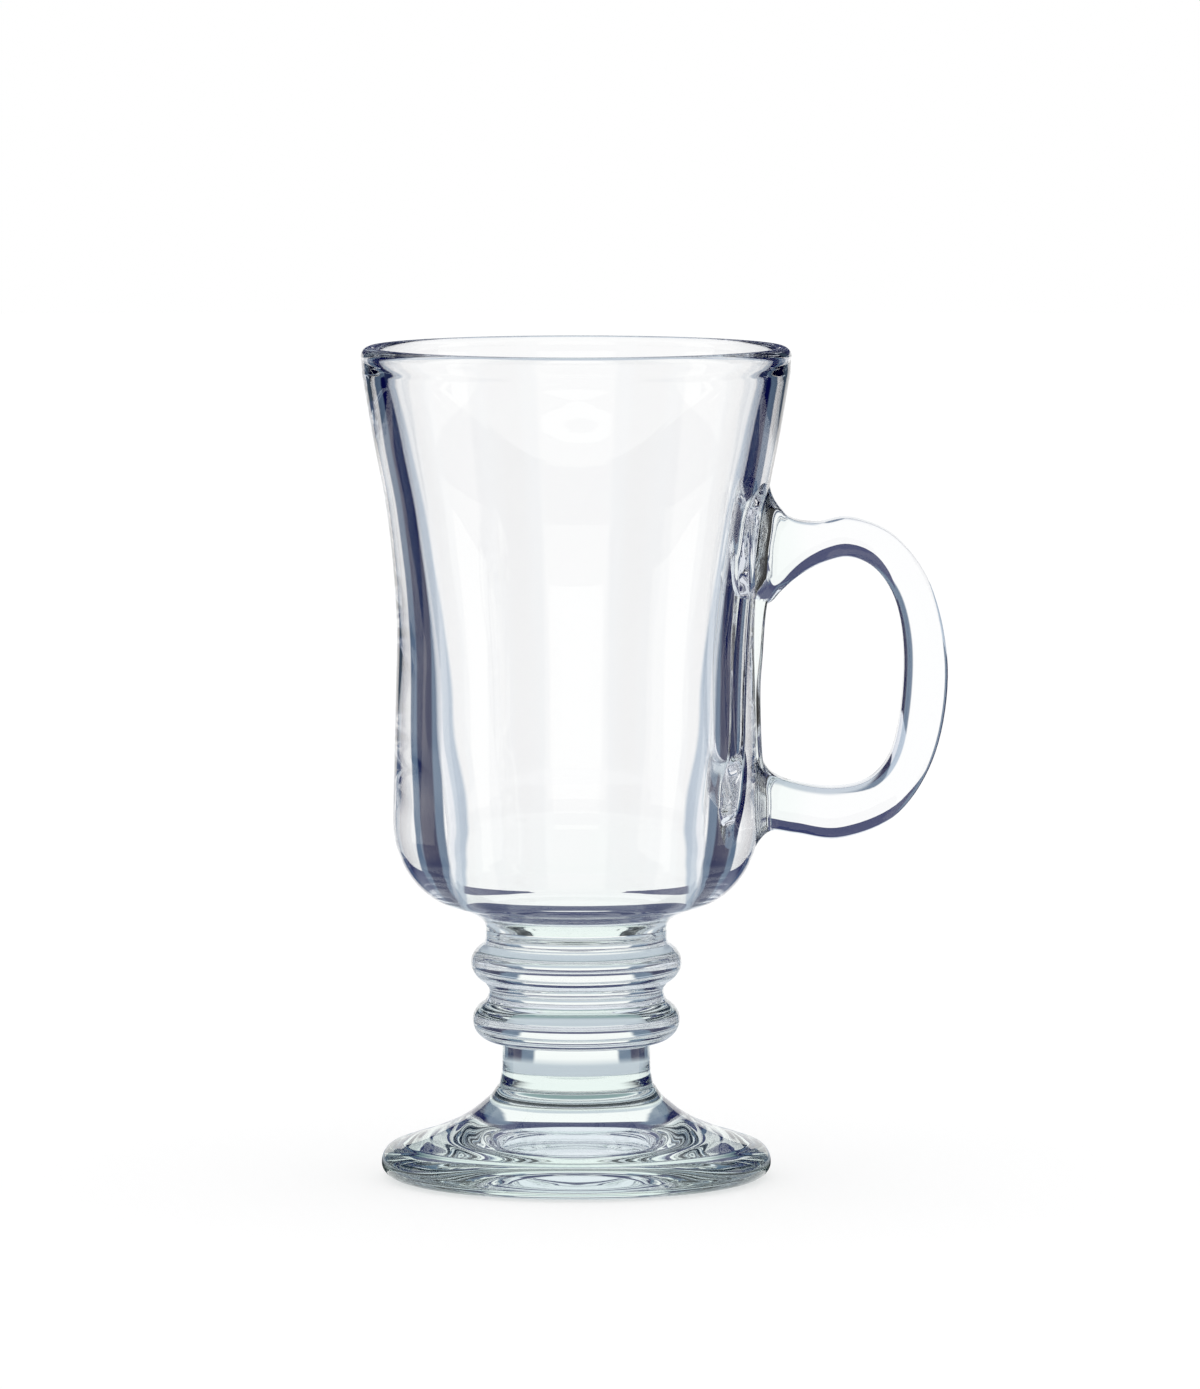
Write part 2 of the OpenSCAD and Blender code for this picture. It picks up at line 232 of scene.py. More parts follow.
FOOT_SEAM_SHARE = 1.03
FOOT_SEAM_R = FOOT_SEAM_SHARE * STEM_R
RING_FILLET_R = 0.35
SHAFT_LOW_SHARE = 0.25
SHAFT_FLARE_SHARE = 0.3
lower_ring = ring_outline(LOWER_RING_R, LOWER_RING_Z, RING_UNDER_ANGLE)
upper_ring = ring_outline(UPPER_RING_R, UPPER_RING_Z, RING_ANGLE)
shaft_top = lower_ring[0][1]
shaft_low = between(FOOT_SEAM_Z, LOWER_RING_Z, SHAFT_LOW_SHARE)
shaft = open_curve(
    [
        (FOOT_SEAM_R, FOOT_SEAM_Z),
        (between(STEM_R, FOOT_SEAM_R, SHAFT_FLARE_SHARE), between(FOOT_SEAM_Z, shaft_low, 0.5)),
        (STEM_R, shaft_low),
        (STEM_R, between(shaft_low, shaft_top, 0.5)),
        (STEM_R, shaft_top - RING_FILLET_R),
    ],
    CURVE_STEPS,
)
fillet_centre = (STEM_R + RING_FILLET_R, shaft_top - RING_FILLET_R)
ring_fillet = arc(fillet_centre, RING_FILLET_R, RING_FILLET_R, 180, 90, FILLET_STEPS)
stem_side = [
    *shaft,
    *ring_fillet[1:],
    *lower_ring,
    *valley(lower_ring[-1], upper_ring[0], GROOVE_R)[1:],
    *upper_ring[1:],
    *valley(upper_ring[-1], (NECK_R, NECK_SEAM_Z), NECK_R)[1:],
]
stem_outline = [(0, FOOT_SEAM_Z), *stem_side, *reversed(nose)]

EDGE_W_SHARE = 0.09
EDGE_MID_SHARE = 0.43
EDGE_ANGLE = 75
EDGE_W = EDGE_W_SHARE * FOOT_R
EDGE_MID_Z = EDGE_MID_SHARE * FOOT_EDGE_H
foot_flare_shares = [
    (0.028, 0.905), (0.09, 0.762), (0.187, 0.623),
    (0.30, 0.48), (0.47, 0.324), (0.73, 0.153),
]
foot_top = curve(
    [
        (STEM_R, 2 * FOOT_SEAM_Z - between(FOOT_EDGE_H, FOOT_SEAM_Z, 0.5)),
        (FOOT_SEAM_R, FOOT_SEAM_Z),
        *[
            (between(FOOT_SEAM_R, FOOT_R - EDGE_W, w), between(FOOT_EDGE_H, FOOT_SEAM_Z, h))
            for w, h in foot_flare_shares
        ],
        (FOOT_R - EDGE_W, FOOT_EDGE_H),
        (FOOT_R, FOOT_EDGE_H / 2),
    ],
    CURVE_STEPS,
)
edge_centre = (FOOT_R - EDGE_W, EDGE_MID_Z)
DOME_RIM_R = FOOT_R - EDGE_W - RESTING_W
# One point of the resting ring lies close to the dome, so that the ring stays flat when shaded
RIM_POINT_GAP = 0.1
foot_side = [
    *foot_top,
    *arc(edge_centre, EDGE_W, FOOT_EDGE_H - EDGE_MID_Z, EDGE_ANGLE, 0),
    *arc(edge_centre, EDGE_W, EDGE_MID_Z, 0, -90)[1:],
    (DOME_RIM_R + RIM_POINT_GAP, 0),
    *arc((0, 0), DOME_RIM_R, DOME_H, 0, 90, 2 * ARC_STEPS),
]
foot_outline = [(0, FOOT_SEAM_Z), *foot_side]

# The whole round skin that the air meets, from the dome under the foot to the bottom of the drink space
skin_outline = [*reversed(foot_side), *stem_side[1:], *outer_side[1:], *inner_side[1:]]

# Meshes

GLASS_FACE, FUSED_FACE, HANDLE_FACE = 0, 1, 2
MERGE_GAP = 1e-7
PATCH_GAP = 1e-6
PLACES_PER_METRE = 1e7


def lathe(outline):
    """A round piece: the outline, which starts and ends on the axis, spun once round."""
    bm = bmesh.new()
    rim = [bm.verts.new((r * MM, 0, z * MM)) for r, z in outline]
    edges = [bm.edges.new(pair) for pair in zip(rim, rim[1:])]
    bmesh.ops.spin(
        bm, geom=rim + edges, axis=(0, 0, 1), cent=(0, 0, 0),
        angle=FULL_TURN, steps=ROUND_STEPS, use_merge=True,
    )
    bmesh.ops.remove_doubles(bm, verts=bm.verts[:], dist=MERGE_GAP)
    bmesh.ops.dissolve_degenerate(bm, edges=bm.edges[:], dist=MERGE_GAP)
    bmesh.ops.recalc_face_normals(bm, faces=bm.faces[:])
    return bm


def finished(bm, name):
    """A smooth object from a bmesh."""
    for face in bm.faces:
        face.smooth = True
    mesh = bpy.data.meshes.new(name)
    bm.to_mesh(mesh)
    bm.free()
    piece = bpy.data.objects.new(name, mesh)
    bpy.context.scene.collection.objects.link(piece)
    return piece


def mark_fused(bm, is_fused):
    """Gives the faces of a seam, told by their radius and height, the fused slot."""
    for face in bm.faces:
        centre = face.calc_center_median() / MM
        if is_fused(math.hypot(centre.x, centre.y), centre.z):
            face.material_index = FUSED_FACE


# The handle's outer and inner edges: shares of the way from the wall out to its reach, and of its height
outer_shares = [
    (-0.104, 1.175), (0.032, 1.084), (0.122, 1.007), (0.282, 0.986), (0.474, 1.0),
    (0.716, 0.942), (0.910, 0.791), (1.0, 0.535), (0.936, 0.268), (0.736, 0.077),
    (0.444, 0.0), (0.202, 0.014), (0.062, 0.023), (0.012, -0.016),
]
inner_shares = [
    (-0.058, 0.570), (0.036, 0.689), (0.118, 0.770), (0.272, 0.845), (0.463, 0.880),
    (0.625, 0.838), (0.738, 0.721), (0.772, 0.532), (0.722, 0.296), (0.598, 0.187),
    (0.408, 0.155), (0.196, 0.170), (0.073, 0.204), (0.021, 0.279),
]
HANDLE_H = HANDLE_TOP_Z - HANDLE_LOW_Z
SPANS = len(outer_shares) - 1
# Where the bar ends along its edges, in spans, and the heights at which its two roots are welded on
UPPER_END_SHARE = 0.135
LOWER_END_SHARE = 0.892
UPPER_ROOT_SHARE = 0.914
LOWER_ROOT_SHARE = 0.121
UPPER_END = UPPER_END_SHARE * SPANS
LOWER_END = LOWER_END_SHARE * SPANS
UPPER_ROOT_Z = HANDLE_LOW_Z + UPPER_ROOT_SHARE * HANDLE_H
LOWER_ROOT_Z = HANDLE_LOW_Z + LOWER_ROOT_SHARE * HANDLE_H
# How far along the bar a root's lines take their direction from, in spans
ROOT_LEAD = 0.25
BAR_STEPS = 8
CORNER_STEPS = 8
ROOT_STEPS = 20
# Places along a flat side, two of them close to its corners so that it stays flat when shaded
side_shares = (0.04, 0.35, 0.65, 0.96)
SIDE_STEPS = len(side_shares) + 1


def edge_point(share):
    """One place on the handle's edge."""
    z = HANDLE_LOW_Z + share[1] * HANDLE_H
    return between(wall_r(z), HANDLE_REACH, share[0]), z


outer_edge = [edge_point(p) for p in outer_shares]
inner_edge = [edge_point(p) for p in inner_shares]


def place_along(points, u):
    """One place on the smooth curve through points, u spans from the first of them."""
    i = int(u)
    return span(*points[i - 1 : i + 3], u - i)


def section(half_t, half_w, round_t, round_w):
    """Rounded rectangle across the handle, as places along its thickness and its width."""
    corners = [
        arc(
            (side_t * (half_t - round_t), side_w * (half_w - round_w)),
            round_t, round_w, start, start + 90, CORNER_STEPS,
        )
        for side_t, side_w, start in ((1, 1, 0), (-1, 1, 90), (-1, -1, 180), (1, -1, 270))
    ]
    return [
        p
        for corner, following in zip(corners, corners[1:] + corners[:1])
        for p in corner + [along(corner[-1], following[0], share) for share in side_shares]
    ]


BAR_ROUND_SHARE = 1.6
FULL_ROUND_SHARE = 0.96


def bar_ring(u):
    """The bar's section at one place along it, as points in space."""
    outer, inner = (Vector(place_along(edge, u)) for edge in (outer_edge, inner_edge))
    across = (outer - inner).normalized()
    middle = (outer + inner) / 2
    half_t = (outer - inner).length / 2
    round_t = min(BAR_ROUND_SHARE * BAR_EDGE_R, FULL_ROUND_SHARE * half_t)
    cut = section(half_t, BAR_W / 2, round_t, BAR_EDGE_R)
    return [Vector((middle.x + across.x * t, w, middle.y + across.y * t)) for t, w in cut]


def wall_point(y, z, depth):
    """A place this deep under the wall's outer face, on the handle's side."""
    return Vector((math.sqrt(wall_r(z) ** 2 - y * y) - depth, y, z))


WELD_TAPER_SHARE = 0.1


def weld_outline(z, half_h):
    """Oval weld of a root on the wall, narrower toward the finger gap."""
    count = 4 * (CORNER_STEPS + SIDE_STEPS)
    turns = [FULL_TURN * (i + SIDE_STEPS / 2) / count for i in range(count)]
    return [
        (ROOT_W / 2 * math.sin(a) * (1 + WELD_TAPER_SHARE * math.cos(a)), z + half_h * math.cos(a))
        for a in turns
    ]


def bezier(a, b, c, d, t):
    return (1 - t) ** 3 * a + 3 * t * (1 - t) ** 2 * b + 3 * t * t * (1 - t) * c + t**3 * d


WELD_SINK_SHARE = 0.03
ROOT_LEAD_SHARE = 0.7
ROOT_RUN_SHARE = 0.45
ROOT_RISE_ANGLE = 15


def root_line(start, before, weld):
    """One line of a root's surface, from the bar's section down to its weld on the wall."""
    sink = WELD_SINK_SHARE * ROOT_W / 2
    lead = ROOT_LEAD_SHARE * (start.x - wall_point(start.y, start.z, 0).x)
    run_y, run_z = ROOT_RUN_SHARE * (start.y - weld[0]), ROOT_RUN_SHARE * (start.z - weld[1])
    rise = math.hypot(run_y, run_z) * math.tan(math.radians(ROOT_RISE_ANGLE))
    points = (
        start,
        start + (start - before).normalized() * lead,
        wall_point(weld[0] + run_y, weld[1] + run_z, sink - rise),
        wall_point(*weld, sink),
    )
    return [bezier(*points, k / ROOT_STEPS) for k in range(1, ROOT_STEPS + 1)]


def root_rings(u, next_u, z, half_h):
    """Rings of one root, and a small last one inside the wall's glass."""
    weld = weld_outline(z, half_h)
    lines = [root_line(*ends) for ends in zip(bar_ring(u), bar_ring(next_u), weld)]
    for line in lines:
        line.append(2 * line[-1] - line[-2])
    core_x = wall_r(z) - WAIST_WALL / 2
    return [*zip(*lines), [Vector((core_x, y / 2, (z + weld_z) / 2)) for y, weld_z in weld]]


def loft(point_rings):
    """A closed bmesh through rings of points."""
    bm = bmesh.new()
    rings = []
    for points in point_rings:
        ring = [bm.verts.new(p * MM) for p in points]
        rings.append([bm.edges.new(pair) for pair in zip(ring, ring[1:] + ring[:1])])
    for low, high in zip(rings, rings[1:]):
        bmesh.ops.bridge_loops(bm, edges=low + high)
    for end in (rings[0], rings[-1]):
        bmesh.ops.holes_fill(bm, edges=end)
    bmesh.ops.recalc_face_normals(bm, faces=bm.faces[:])
    return bm


def handle_bar():
    """The bar between its two roots."""
    count = math.ceil((LOWER_END - UPPER_END) * BAR_STEPS)
    upper = root_rings(UPPER_END, UPPER_END + ROOT_LEAD, UPPER_ROOT_Z, UPPER_ROOT_H / 2)
    lower = root_rings(LOWER_END, LOWER_END - ROOT_LEAD, LOWER_ROOT_Z, -LOWER_ROOT_H / 2)
    middle = [bar_ring(between(UPPER_END, LOWER_END, k / count)) for k in range(count + 1)]
    return loft([*reversed(upper), *middle, *lower])


# The ridge on the wall between the roots: shares of the handle's height, and of the bar's width that it rises
ridge_shares = [
    (0.786, 0.3), (0.741, 0.185), (0.589, 0.127),
    (0.464, 0.065), (0.286, 0.065), (0.214, 0.1),
]
RIDGE_HALF_W_SHARE = 0.43
RIDGE_ROUND_SHARE = 0.08
RIDGE_HALF_W = RIDGE_HALF_W_SHARE * BAR_W
RIDGE_ROUND = RIDGE_ROUND_SHARE * BAR_W


def ridge_ring(z, proud):
    """The ridge's section at one height, half of it in the wall's glass."""
    half_t = (proud + WAIST_WALL / 2) / 2
    middle = wall_r(z) + proud - half_t
    return [Vector((middle + t, w, z)) for t, w in section(half_t, RIDGE_HALF_W, RIDGE_ROUND, RIDGE_ROUND)]


def wall_ridge():
    """The low ridge that runs down the wall from root to root."""
    points = [(HANDLE_LOW_Z + h * HANDLE_H, proud * BAR_W) for h, proud in ridge_shares]
    return loft([ridge_ring(*p) for p in open_curve(points, BAR_STEPS)])


def boolean(body, tool, operation):
    """A new bmesh: body joined with, or kept inside, tool."""
    cut = body.modifiers.new("cut", "BOOLEAN")
    cut.object = tool
    cut.operation = operation
    cut.solver = "MANIFOLD"
    cut.material_mode = "INDEX"
    bpy.context.view_layer.update()
    bm = bmesh.new()
    shaped = body.evaluated_get(bpy.context.evaluated_depsgraph_get())
    bm.from_mesh(shaped.to_mesh())
    shaped.to_mesh_clear()
    body.modifiers.remove(cut)
    return bm


def kept(bm, slots):
    """Deletes the faces whose material slot isn't among the slots."""
    others = [face for face in bm.faces if face.material_index not in slots]
    bmesh.ops.delete(bm, geom=others, context="FACES")
    return bm


def joined(bm, patch):
    """Closes bm with a patch that shares its edge, and frees the patch."""
    mesh = bpy.data.meshes.new("patch")
    patch.to_mesh(mesh)
    patch.free()
    bm.from_mesh(mesh)
    bpy.data.meshes.remove(mesh)
    bmesh.ops.remove_doubles(bm, verts=bm.verts[:], dist=PATCH_GAP)
    return bm


def spot(place):
    """A place to the nearest tenth of a micrometre, to tell which points are the same."""
    return tuple(round(c * PLACES_PER_METRE) for c in place)


def take_normals(piece, *smooth_shapes):
    """Gives a cut piece the unbroken normals of the whole smooth shapes that it was cut from."""
    sources = []
    known = {}
    for shape in smooth_shapes:
        mesh = shape.data
        mesh.calc_loop_triangles()
        triangles = [tuple(t.vertices) for t in mesh.loop_triangles]
        tree = BVHTree.FromPolygons([v.co for v in mesh.vertices], triangles)
        sources.append((mesh.vertices, triangles, tree))
        known.update((spot(v.co), v.normal.copy()) for v in mesh.vertices)
    normals = []
    for vertex in piece.data.vertices:
        normal = known.get(spot(vertex.co))
        if normal is None:
            found = [(tree.find_nearest(vertex.co), *surface) for *surface, tree in sources]
            (place, _, index, _), corners, triangles = min(found, key=lambda hit: hit[0][3])
            a, b, c = (corners[i] for i in triangles[index])
            normal = barycentric_transform(place, a.co, b.co, c.co, a.normal, b.normal, c.normal)
            normal.normalize()
        normals.append(normal)
    piece.data.normals_split_custom_set_from_vertices(normals)


# The four gathers of glass

SEAM_SLACK = 0.001
CUP_RIM_W = 0.3

bowl_bm = lathe(bowl_outline)
mark_fused(bowl_bm, lambda r, z: z < NECK_SEAM_Z + SEAM_SLACK)
whole_bowl = finished(bowl_bm, "whole_bowl")
bar = finished(handle_bar(), "bar")
ridge = finished(wall_ridge(), "ridge")
bar_bm = boolean(bar, ridge, "UNION")
for face in bar_bm.faces:
    face.material_index = HANDLE_FACE
whole_bar = finished(bar_bm, "whole_bar")
for shape in (whole_bowl, whole_bar):
    for _ in (GLASS_FACE, FUSED_FACE, HANDLE_FACE):
        shape.data.materials.append(None)

union = boolean(whole_bowl, whole_bar, "UNION")
weld = kept(boolean(whole_bar, whole_bowl, "INTERSECT"), [GLASS_FACE])
for face in weld.faces:
    face.material_index = FUSED_FACE
handle_bm = joined(kept(union.copy(), [HANDLE_FACE]), weld.copy())
bowl_bm = joined(kept(union, [GLASS_FACE, FUSED_FACE]), weld)
for face in handle_bm.faces:
    face.material_index = FUSED_FACE if face.material_index == FUSED_FACE else GLASS_FACE
weld_faces = [face for face in handle_bm.faces if face.material_index == FUSED_FACE]
bmesh.ops.reverse_faces(handle_bm, faces=weld_faces)


def in_stem_seam(r, z):
    """True where the stem meets the foot, and where it meets the bowl, in its cup and round it."""
    in_cup = z > NOSE_Z and r < NECK_R - CUP_RIM_W
    return z < FOOT_SEAM_Z + SEAM_SLACK or in_cup or z > NECK_SEAM_Z - SEAM_SLACK


stem_bm = lathe(stem_outline)
mark_fused(stem_bm, in_stem_seam)
foot_bm = lathe(foot_outline)
mark_fused(foot_bm, lambda r, z: z > FOOT_SEAM_Z - SEAM_SLACK)

bowl = finished(bowl_bm, "flared_bowl")
handle = finished(handle_bm, "ear_handle")
stem = finished(stem_bm, "ringed_stem")
foot = finished(foot_bm, "domed_foot")
skin = finished(lathe(skin_outline), "skin")
for piece in (bowl, stem, foot):
    take_normals(piece, skin)
take_normals(handle, bar, ridge)
for shape in (whole_bowl, whole_bar, bar, ridge, skin):
    bpy.data.objects.remove(shape)

# Materials


class Value:
    """A socket that takes part in arithmetic, which adds Math nodes."""

    def __init__(self, graph, socket):
        self.graph = graph
        self.socket = socket

    def calc(self, operation, *others):
        sockets = dict(enumerate((self, *others)))
        return self.graph.node("ShaderNodeMath", {"operation": operation}, sockets)

    def __add__(self, other):
        return self.calc("ADD", other)

    __radd__ = __add__

    def __mul__(self, other):
        return self.calc("MULTIPLY", other)

    __rmul__ = __mul__

    def __sub__(self, other):
        return self.calc("SUBTRACT", other)

    def __rsub__(self, other):
        return self.graph.node("ShaderNodeMath", {"operation": "SUBTRACT"}, {0: other, 1: self})

    def __abs__(self):
        return self.calc("ABSOLUTE")

    def fade(self, low, high):
        """0 below low, 1 above high, and a smooth step between them."""
        settings = {"interpolation_type": "SMOOTHSTEP"}
        sockets = {"Value": self, "From Min": low, "From Max": high}
        return self.graph.node("ShaderNodeMapRange", settings, sockets)


class Graph:
    """The node tree of one material or of the world."""

    def __init__(self, owner):
        owner.use_nodes = True
        self.tree = owner.node_tree
        self.tree.nodes.clear()

    def node(self, kind, settings=None, sockets=None, out=0):
        """Adds a node, links or sets its sockets, and returns one of its outputs."""
        node = self.tree.nodes.new(kind)
        for name, value in (settings or {}).items():
            setattr(node, name, value)
        for name, value in (sockets or {}).items():
            if isinstance(value, Value):
                self.tree.links.new(value.socket, node.inputs[name])
            elif value is not None:
                node.inputs[name].default_value = value
        return Value(self, node.outputs[out]) if len(node.outputs) else None

    def mix(self, share, a, b):
        """A colour between a and b."""
        # sockets 0, 6 and 7 are the colour mix's factor and its two sides
        return self.node("ShaderNodeMix", {"data_type": "RGBA"}, {0: share, 6: a, 7: b}, 2)


# The standard curve between the steps of a picture and light, with a straight stretch for the darkest steps
PICTURE_STEPS = 255
STRAIGHT_STEPS = 10
STRAIGHT_SLOPE = 12.92
CURVE_OFFSET = 0.055
CURVE_POWER = 2.4


def light_of(step):
    share = step / PICTURE_STEPS
    if step <= STRAIGHT_STEPS:
        return share / STRAIGHT_SLOPE
    return ((share + CURVE_OFFSET) / (1 + CURVE_OFFSET)) ** CURVE_POWER


def rgb(red, green, blue):
    """A colour given in the 0 to 255 steps of a picture."""
    return light_of(red), light_of(green), light_of(blue), 1


GLASS_IOR = 1.52
GLASS_SPECULAR = 0.3
DRIFT_SCALE = 45.0
DRIFT_RANGE = 0.012


def pressed_glass(name, clear, deep, deepness, ripple_depth, ripple_length):
    """Glass with a faint tint where deepness says it is thick, and the ripples that pressing leaves."""
    material = bpy.data.materials.new(name)
    graph = Graph(material)
    place = graph.node("ShaderNodeTexCoord", out="Object")
    drift = graph.node("ShaderNodeTexNoise", None, {"Vector": place, "Scale": DRIFT_SCALE, "Detail": 2.0})
    waves = {"Vector": place, "Scale": 1 / (ripple_length * MM), "Detail": 0.0}
    ripple = graph.node("ShaderNodeTexNoise", None, waves)
    relief = {"Strength": 1.0, "Distance": ripple_depth * MM, "Height": ripple}
    bump = graph.node("ShaderNodeBump", None, relief)
    glass = graph.node(
        "ShaderNodeBsdfPrincipled",
        None,
        {
            "Base Color": graph.mix(deepness(graph, place, (drift - 0.5) * DRIFT_RANGE), clear, deep),
            "Roughness": 0.0,
            "IOR": GLASS_IOR,
            "Specular IOR Level": GLASS_SPECULAR,
            "Transmission Weight": 1.0,
            "Normal": bump,
        },
    )
    graph.node("ShaderNodeOutputMaterial", None, {"Surface": glass})
    return material


def below(high, low):
    """Deepness that grows from one height down to another."""

    def deepness(graph, place, drift):
        height = graph.node("ShaderNodeSeparateXYZ", None, {0: place}, "Z")
        return (height + drift).fade(high * MM, low * MM)

    return deepness


def near_axis(far, near):
    """Deepness that grows from one distance off the axis in to another."""

    def deepness(graph, place, drift):
        flat = graph.node("ShaderNodeVectorMath", {"operation": "MULTIPLY"}, {0: place, 1: (1, 1, 0)})
        distance = graph.node("ShaderNodeVectorMath", {"operation": "LENGTH"}, {0: flat}, "Value")
        return (distance + drift).fade(far * MM, near * MM)

    return deepness


def fused_contact():
    """For the faces where two gathers of glass are one, since there is nothing to see there."""
    material = bpy.data.materials.new("fused_contact")
    graph = Graph(material)
    graph.node("ShaderNodeOutputMaterial", None, {"Surface": graph.node("ShaderNodeBsdfTransparent")})
    return material


THIN_TINT = (0.998, 1, 1, 1)
ROOT_TINT = (0.93, 0.975, 0.96, 1)
BAR_TINT = (0.99, 0.995, 1, 1)
NECK_TINT = (0.95, 0.985, 0.97, 1)
SEAM_TINT = (0.93, 0.98, 0.96, 1)
RIM_TINT = (0.80, 0.93, 0.87, 1)

# Where the first tint gives way to the second: heights, and for the handle distances off the axis
BOWL_TINT_FADE = (62, 44)
HANDLE_TINT_FADE = (42, 35)
STEM_TINT_FADE = (44, 17)
FOOT_TINT_FADE = (12, 3)
# How deep and how long the ripples are
BOWL_RIPPLE = (0.02, 12)
HANDLE_RIPPLE = (0.01, 9)
STEM_RIPPLE = (0.014, 7)
FOOT_RIPPLE = (0.04, 9)

bowl_glass = pressed_glass("bowl_pressed_glass", THIN_TINT, NECK_TINT, below(*BOWL_TINT_FADE), *BOWL_RIPPLE)
handle_depth = near_axis(*HANDLE_TINT_FADE)
drawn_glass = pressed_glass("handle_drawn_glass", BAR_TINT, ROOT_TINT, handle_depth, *HANDLE_RIPPLE)
stem_glass = pressed_glass("stem_thick_glass", NECK_TINT, SEAM_TINT, below(*STEM_TINT_FADE), *STEM_RIPPLE)
foot_glass = pressed_glass("foot_thick_glass", SEAM_TINT, RIM_TINT, below(*FOOT_TINT_FADE), *FOOT_RIPPLE)
fused = fused_contact()
for node, piece, finish, slot in (
    ("bowl", bowl, bowl_glass, "clear_glass"),
    ("handle", handle, drawn_glass, "handle_glass"),
    ("stem", stem, stem_glass, "stem_glass"),
    ("foot", foot, foot_glass, "foot_glass"),
):
    piece.data.materials.append(finish)
    piece.data.materials.append(fused)
    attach(piece, "root")
    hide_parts(node)

# Studio

WHITE = (1, 1, 1, 1)
FLAG = rgb(8, 12, 66)
FLAG_EDGE = rgb(98, 118, 142)
PALE_MARGIN = rgb(182, 196, 212)
PALE_SIDE = rgb(228, 232, 240)
OVER_PANEL = rgb(58, 64, 104)
OVERHEAD = rgb(236, 240, 248)
# Painted light: a bright pool on the table under the foot, standing in for light that the glass focuses there
PAINTED_LIGHT_UNDER_FOOT = rgb(250, 252, 252)
# Painted shadow: the object's contact shadow round the foot's rim, dark for reflected rays and fainter for
# rays that went straight on
RIM_SHADOW = rgb(18, 34, 38)
FAINT_RIM_SHADOW = rgb(132, 156, 158)
# Painted shade: the table greyer near the object, where it is lit less, and white farther out
SHADED_TABLE = rgb(196, 205, 215)

# A bright panel stands behind the object, between dark flags, and again at each quarter turn
BACKDROP_R = 0.64
BACKDROP_H = 0.167
BACKDROP_SIDES = 128
PANEL_HALF_ANGLE = 23
FLAG_HALF_ANGLE = 11
SOFT_ANGLE = 1.5
QUARTER_TURN = 90
QUARTER = math.radians(QUARTER_TURN)
# Four quarters, so that no turn is negative, and the half quarter from one panel's edge to its middle
POSITIVE_SHIFT = QUARTER * 4.5
# Elevations, in degrees, between which one colour over the backdrop gives way to the next
PANEL_FADE = (18, 24)
OVERHEAD_FADE = (30, 36)
# One thickness of glass takes 2 bounces through its faces, and two take 4
ONE_WALL_BOUNCES = 3.5
REFLECTED_BOUNCES = 0.5


def seen_in_glass(graph, place):
    """1 for a ray that left the glass through a face, or off one and ahead of the main camera, else 0."""
    through_glass = graph.node("ShaderNodeLightPath", out="Is Transmission Ray")
    off_glass = graph.node("ShaderNodeLightPath", out="Is Glossy Ray")
    ahead = graph.node("ShaderNodeSeparateXYZ", None, {0: place}, "Y").calc("GREATER_THAN", 0)
    return through_glass.calc("MAXIMUM", off_glass * ahead)


def reflected(graph):
    """1 for a ray that was reflected in or off the glass on its way, 0 for one that went straight on."""
    return graph.node("ShaderNodeLightPath", out="Glossy Depth").calc("GREATER_THAN", REFLECTED_BOUNCES)


def through_one_wall(graph):
    """1 for a ray through one thickness of glass, as in the stem and the handle, 0 for two."""
    return graph.node("ShaderNodeLightPath", out="Transmission Depth").calc("LESS_THAN", ONE_WALL_BOUNCES)


def step_at(angle, degrees):
    return angle.fade(math.radians(degrees - SOFT_ANGLE), math.radians(degrees + SOFT_ANGLE))


def surround(graph, place, panel, dark):
    """Colour at each turn round the object: the panel's own, then a grey margin, then a dark flag.

    Rays that aren't dark see pale ones in place of the margin and the flag, so the bowl is clear all round.
    """
    x, y = (graph.node("ShaderNodeSeparateXYZ", None, {0: place}, axis) for axis in "XY")
    turn = x.calc("ARCTAN2", y) + POSITIVE_SHIFT
    off_panel = abs(turn.calc("MODULO", QUARTER) - QUARTER / 2)
    margin = graph.mix(dark, PALE_MARGIN, FLAG_EDGE)
    side = graph.mix(dark, PALE_SIDE, FLAG)
    beside = graph.mix(step_at(off_panel, PANEL_HALF_ANGLE), panel, margin)
    flag_start = QUARTER_TURN / 2 - FLAG_HALF_ANGLE
    return graph.mix(step_at(off_panel, flag_start), beside, side)


def climb(elevation, low, high):
    return elevation.fade(math.radians(low), math.radians(high))


world = bpy.data.worlds.new("bright_field")
bpy.context.scene.world = world
graph = Graph(world)
direction = graph.node("ShaderNodeTexCoord", out="Generated")
elevation = graph.node("ShaderNodeSeparateXYZ", None, {0: direction}, "Z").calc("ARCSINE")
dark = reflected(graph).calc("MAXIMUM", through_one_wall(graph))
over_backdrop = surround(graph, direction, OVER_PANEL, dark)
over_backdrop = graph.mix(climb(elevation, *PANEL_FADE), over_backdrop, OVER_PANEL)
over_backdrop = graph.mix(climb(elevation, *OVERHEAD_FADE), over_backdrop, OVERHEAD)
sky = graph.mix(seen_in_glass(graph, direction), WHITE, over_backdrop)
light = graph.node("ShaderNodeBackground", None, {"Color": sky, "Strength": 1.0})
graph.node("ShaderNodeOutputWorld", None, {"Surface": light})

# Distances from the object's axis, in metres, between which one colour of the table, as the glass shows it,
# gives way to the next: painted light under the foot, painted shadow round the rim, painted shade near the
# object, then the panels and flags round it
RIM_FADE = (0.024, 0.029)
TABLE_FADE = (0.041, 0.06)
SURROUND_FADE = (0.12, 0.18)
BOWL_FADE_IN = (0.25, 0.27)
BOWL_FADE_OUT = (0.54, 0.56)

FLOOR_R = 3
FLOOR_SIDES = 96
FLOOR_GAP = 0.0002
FLOOR_GREY = (0.45, 0.45, 0.45, 1)
FLOOR_GLOW = 0.58
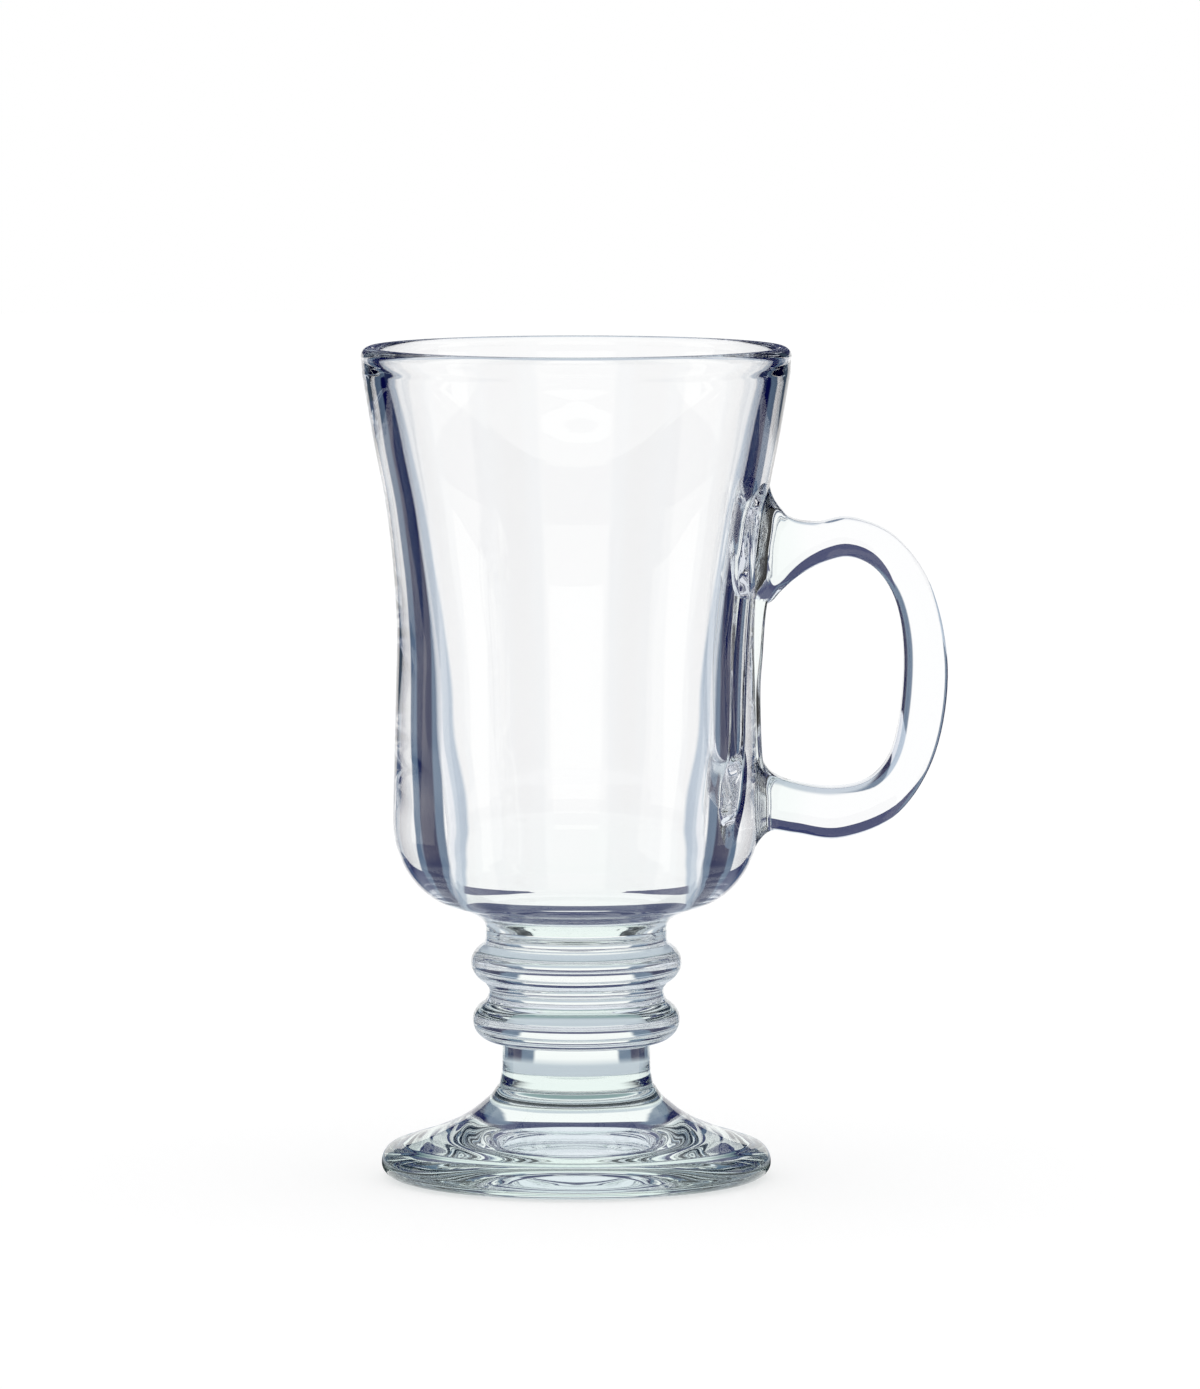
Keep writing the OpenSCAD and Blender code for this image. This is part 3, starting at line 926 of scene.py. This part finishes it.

# The floor is white to the camera but for the object's shadow. Through the glass it has the table's colours,
# with painted light and shade: a pool of painted light under the foot, a painted shadow round the rim and
# painted grey shade near the object.
floor_bm = bmesh.new()
bmesh.ops.create_circle(floor_bm, cap_ends=True, radius=FLOOR_R, segments=FLOOR_SIDES)
bmesh.ops.translate(floor_bm, verts=floor_bm.verts[:], vec=(0, 0, -FLOOR_GAP))
floor = finished(floor_bm, "pale_floor")
paper = bpy.data.materials.new("pale_paper")
graph = Graph(paper)
place = graph.node("ShaderNodeTexCoord", out="Object")
distance = graph.node("ShaderNodeVectorMath", {"operation": "LENGTH"}, {0: place}, "Value")
# Painted light and shade on the table as the glass shows it: light under the foot, a shadow round the rim,
# grey shade near the object
rim_contact_shadow = graph.mix(reflected(graph), FAINT_RIM_SHADOW, RIM_SHADOW)
table = graph.mix(distance.fade(*RIM_FADE), PAINTED_LIGHT_UNDER_FOOT, rim_contact_shadow)
table = graph.mix(distance.fade(*TABLE_FADE), table, SHADED_TABLE)
behind_bowl = distance.fade(*BOWL_FADE_IN) * (1 - distance.fade(*BOWL_FADE_OUT))
dark = reflected(graph).calc("MAXIMUM", through_one_wall(graph) * (1 - behind_bowl))
table = graph.mix(distance.fade(*SURROUND_FADE), table, surround(graph, place, WHITE, dark))
lit = graph.node("ShaderNodeBsdfDiffuse", None, {"Color": FLOOR_GREY})
glow = graph.node("ShaderNodeEmission", None, {"Color": WHITE, "Strength": FLOOR_GLOW})
own = graph.node("ShaderNodeAddShader", None, {0: lit, 1: glow})
in_glass = graph.node("ShaderNodeEmission", None, {"Color": table})
surface = graph.node("ShaderNodeMixShader", None, {0: seen_in_glass(graph, place), 1: own, 2: in_glass})
graph.node("ShaderNodeOutputMaterial", None, {"Surface": surface})
floor.data.materials.append(paper)

# The backdrop is a ring that only the glass shows, and it hides nothing from the camera
backdrop_bm = bmesh.new()
bmesh.ops.create_cone(
    backdrop_bm, cap_ends=False, segments=BACKDROP_SIDES,
    radius1=BACKDROP_R, radius2=BACKDROP_R, depth=BACKDROP_H,
)
bmesh.ops.translate(backdrop_bm, verts=backdrop_bm.verts[:], vec=(0, 0, BACKDROP_H / 2))
backdrop = finished(backdrop_bm, "panels_and_flags")
cloth = bpy.data.materials.new("panels_and_flags")
graph = Graph(cloth)
place = graph.node("ShaderNodeTexCoord", out="Object")
dark = reflected(graph).calc("MAXIMUM", through_one_wall(graph))
own = graph.node("ShaderNodeBsdfTransparent")
in_glass = graph.node("ShaderNodeEmission", None, {"Color": surround(graph, place, WHITE, dark)})
surface = graph.node("ShaderNodeMixShader", None, {0: seen_in_glass(graph, place), 1: own, 2: in_glass})
graph.node("ShaderNodeOutputMaterial", None, {"Surface": surface})
backdrop.data.materials.append(cloth)

# Camera

FRAME_W, FRAME_H = 1200, 1389
FOCAL_PX = 10347.4
AXIS_PX = 576.125
SENSOR_MM = 36
CAMERA_BACK = 1.80565
CAMERA_UP = 0.24336
CAMERA_DOWN_ANGLE = 5.014
BOUNCES = 24
camera_data = bpy.data.cameras.new("camera")
camera_data.sensor_width = SENSOR_MM
camera_data.lens = SENSOR_MM * FOCAL_PX / FRAME_H
camera = bpy.data.objects.new("camera", camera_data)
camera.location = (0, -CAMERA_BACK, CAMERA_UP)
turn_aside = -math.atan((FRAME_W / 2 - AXIS_PX) / FOCAL_PX)
camera.rotation_euler = (math.radians(QUARTER_TURN - CAMERA_DOWN_ANGLE), 0, turn_aside)
bpy.context.scene.collection.objects.link(camera)
bpy.context.scene.camera = camera

scene = bpy.context.scene
scene.view_settings.view_transform = "Standard"
scene.cycles.max_bounces = BOUNCES
scene.cycles.transmission_bounces = BOUNCES
scene.cycles.glossy_bounces = BOUNCES
scene.cycles.transparent_max_bounces = 2 * BOUNCES

bpy.context.view_layer.update()
